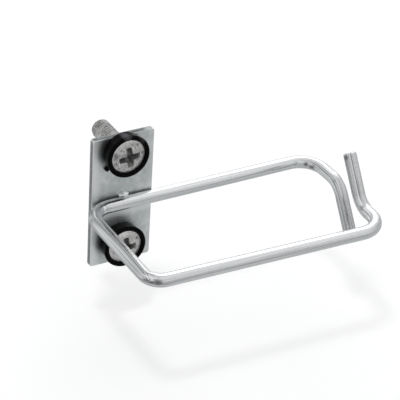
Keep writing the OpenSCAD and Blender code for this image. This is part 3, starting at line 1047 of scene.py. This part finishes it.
# ---------------------------------------------------------------- studio

FLOOR_Z = -42 * MM


def stage_material(name):
    """Empty node material for something that only the studio shows, with its output node."""
    material = bpy.data.materials.new(name)
    material.use_nodes = True
    tree = material.node_tree
    tree.nodes.clear()
    return material, tree, tree.nodes.new("ShaderNodeOutputMaterial")


def pale_floor():
    """Plain white floor under the hook; eyes and polished metal see it glow a little.

    It keeps the hook's shadow.
    """
    bm = bmesh.new()
    loops = [
        [bm.verts.new((x + 0.025, y - 0.02, FLOOR_Z)) for x, y in circle_points(radius, 96)]
        for radius in (0.2, 1.0, 3.0)
    ]
    bm.faces.new(loops[0])
    for one, other in zip(loops, loops[1:]):
        bridge(bm, one, other)
    mesh = mesh_from(bm, "pale floor")
    material, tree, out = stage_material("pale floor")
    new, link = tree.nodes.new, tree.links.new
    paint = new("ShaderNodeBsdfDiffuse")
    paint.inputs["Color"].default_value = (0.66, 0.66, 0.66, 1)
    glow = new("ShaderNodeEmission")
    glow.inputs["Strength"].default_value = 0.31
    both = new("ShaderNodeAddShader")
    choose = new("ShaderNodeMixShader")
    path = new("ShaderNodeLightPath")
    link(paint.outputs[0], both.inputs[0])
    link(glow.outputs[0], both.inputs[1])
    seen = path.outputs["Is Camera Ray"]
    for ray in ("Is Glossy Ray", "Is Transmission Ray"):
        either = new("ShaderNodeMath")
        either.operation = "MAXIMUM"
        link(seen, either.inputs[0])
        link(path.outputs[ray], either.inputs[1])
        seen = either.outputs[0]
    link(seen, choose.inputs[0])
    link(paint.outputs[0], choose.inputs[1])
    link(both.outputs[0], choose.inputs[2])
    link(choose.outputs[0], out.inputs["Surface"])
    mesh.materials.append(material)
    floor = placed("pale_floor", mesh)


def level_ramp(tree, stops, tint=(0.995, 1, 1.008)):
    """Colour ramp of (place, grey level) stops."""
    ramp = tree.nodes.new("ShaderNodeValToRGB")
    while len(ramp.color_ramp.elements) < len(stops):
        ramp.color_ramp.elements.new(0.5)
    for element, (at, level) in zip(ramp.color_ramp.elements, stops):
        element.position = at
        element.color = (*(level * share for share in tint), 1)
    return ramp


def soft_room():
    """Room light: brightest overhead, quietest just below the horizon."""
    world = bpy.data.worlds.new("soft room")
    bpy.context.scene.world = world
    world.use_nodes = True
    tree = world.node_tree
    new, link = tree.nodes.new, tree.links.new
    coords = new("ShaderNodeTexCoord")
    parts = new("ShaderNodeSeparateXYZ")
    height = new("ShaderNodeMapRange")
    height.inputs["From Min"].default_value = -1
    height.inputs["From Max"].default_value = 1
    stops = ((0.0, 0.62), (0.46, 0.44), (0.53, 0.54), (0.74, 0.76), (0.90, 0.84), (1.0, 0.86))
    ramp = level_ramp(tree, stops)
    ramp.color_ramp.interpolation = "EASE"
    link(coords.outputs["Generated"], parts.inputs[0])
    link(parts.outputs["Z"], height.inputs["Value"])
    link(height.outputs["Result"], ramp.inputs["Fac"])
    link(ramp.outputs["Color"], tree.nodes["Background"].inputs["Color"])


def reflected_card(name, corners, faces, axis, near, far, stops):
    """Card that only shiny surfaces see, its level set along one axis."""
    bm = bmesh.new()
    verts = [bm.verts.new(corner) for corner in corners]
    for face in faces:
        bm.faces.new([verts[i] for i in face])
    mesh = mesh_from(bm, name, smooth=False)
    material, tree, out = stage_material(name)
    new, link = tree.nodes.new, tree.links.new
    coords = new("ShaderNodeTexCoord")
    parts = new("ShaderNodeSeparateXYZ")
    along = new("ShaderNodeMapRange")
    along.inputs["From Min"].default_value = near
    along.inputs["From Max"].default_value = far
    ramp = level_ramp(tree, stops, (0.98, 1, 1.01))
    glow = new("ShaderNodeEmission")
    link(coords.outputs["Object"], parts.inputs[0])
    link(parts.outputs[axis], along.inputs["Value"])
    link(along.outputs["Result"], ramp.inputs["Fac"])
    link(ramp.outputs["Color"], glow.inputs["Color"])
    link(glow.outputs[0], out.inputs["Surface"])
    mesh.materials.append(material)
    card = placed(name, mesh)
    card.visible_camera = card.visible_diffuse = card.visible_shadow = False
    card.visible_transmission = card.visible_volume_scatter = False


def grey_cards():
    """Two cards that only shiny surfaces see.

    One stands round the plate, in place of the grey steel that a hook is mounted on. The
    other lies on the floor, under the hook and in front of it.
    """
    left, right, reach, gap = -75 * MM, 8 * MM, 0.22, 0.5 * MM
    hole = (PLATE_LOW.x - gap, PLATE_LOW.z - gap, PLATE_HIGH.z + gap)
    outer = [(left, -reach), (right, -reach), (right, reach), (left, reach)]
    inner = [(hole[0], hole[1]), (right, hole[1]), (right, hole[2]), (hole[0], hole[2])]
    reflected_card(
        "grey_steel_card",
        [(x, 0.4 * MM, z) for x, z in outer + inner],
        [(0, 1, 5, 4), (2, 3, 7, 6), (3, 0, 4, 7)],
        "X", left, right,
        (
            (0.0, 0.60), (0.40, 0.60), (0.47, 0.74), (0.52, 0.66), (0.58, 0.80), (0.62, 0.60),
            (0.66, 0.34), (0.70, 0.62), (0.76, 0.34), (0.83, 0.58), (0.90, 0.26), (1.0, 0.46),
        ),
    )
    reflected_card(
        "low_grey_card",
        [(x, y, FLOOR_Z + 1 * MM) for x, y in ((-2, -2), (2, -2), (2, 0.1), (-2, 0.1))],
        [(0, 1, 2, 3)],
        "Y", 0.1, -0.9,
        (
            (0.0, 0.74), (0.105, 0.56), (0.13, 0.50), (0.16, 0.56),
            (0.18, 0.55), (0.24, 0.43), (0.35, 0.43), (1.0, 0.48),
        ),
    )


def soft_lamp(name, place, size, watts, in_metal=True):
    """Square lamp turned to the hook; in_metal says whether shiny surfaces show it."""
    lamp = bpy.data.lights.new(name, "AREA")
    lamp.shape = "SQUARE"
    lamp.size = size
    lamp.energy = watts
    held = placed(name, lamp)
    held.location = place
    held.rotation_mode = "QUATERNION"
    held.rotation_quaternion = (Vector((0.02, -0.02, 0)) - Vector(place)).to_track_quat("-Z", "Y")
    held.visible_glossy = in_metal


def hook_camera():
    """Camera above and to the left of the hook, a little tilted, with a long lens."""
    azimuth, elevation, roll = (math.radians(a) for a in (-31.132, 31.420, 3.736))
    back = Vector(
        (
            math.sin(azimuth) * math.cos(elevation),
            -math.cos(azimuth) * math.cos(elevation),
            math.sin(elevation),
        )
    )
    level = (-back).cross(Vector((0, 0, 1))).normalized()
    over = level.cross(-back)
    right = level * math.cos(roll) + over * math.sin(roll)
    up = over * math.cos(roll) - level * math.sin(roll)
    # the frame is 400 wide and high; the lens and the origin's place in it are in the same units
    frame_side, film = 400, 36
    distance, focal = 517.0376 * MM, 1744.3585
    aside = [(at - frame_side / 2) / focal * distance for at in (118.74106, 195.34317)]
    place = back * distance - right * aside[0] + up * aside[1]
    data = bpy.data.cameras.new("hook camera")
    data.sensor_width = film
    data.lens = focal / frame_side * film
    data.clip_start, data.clip_end = 0.01, 20
    camera = placed("hook camera", data)
    camera.matrix_world = Matrix(
        (
            (right.x, up.x, back.x, place.x),
            (right.y, up.y, back.y, place.y),
            (right.z, up.z, back.z, place.z),
            (0, 0, 0, 1),
        )
    )
    bpy.context.scene.camera = camera


# ---------------------------------------------------------------- making the hook

steel = scuffed_steel()
plastic = moulded_black()
zinc_wire = bright_wire()

add_piece("punched_zinc_plate", punched_plate(), "mounting_plate", satin_zinc())
add_piece("bent_zinc_wire", bent_wire(zinc_wire), "wire_ring", zinc_wire)
add_piece("frozen_weld_bead", weld_bead(), "weld_bead", weld_metal())
winding_tree = thread_tree()
for level, tab_turn, recess_turn in (("upper", 224, 8), ("lower", 150, 4)):
    axis = axis_of(level + "_screw")
    add_piece(
        level + "_moulded_cup",
        cup_washer(axis, tab_turn),
        level + "_cup_washer",
        plastic,
    )
    add_piece(
        level + "_cross_head_screw",
        screw(axis, recess_turn, winding_tree, steel),
        level + "_screw",
        steel,
    )

pale_floor()
grey_cards()
soft_room()
soft_lamp("broad back lamp", (0.42, 0.58, 0.63), 0.85, 2.2)
soft_lamp("small shadow lamp", (-0.22, -0.20, 0.80), 0.12, 1.4, in_metal=False)
hook_camera()
bpy.context.scene.view_settings.view_transform = "Standard"
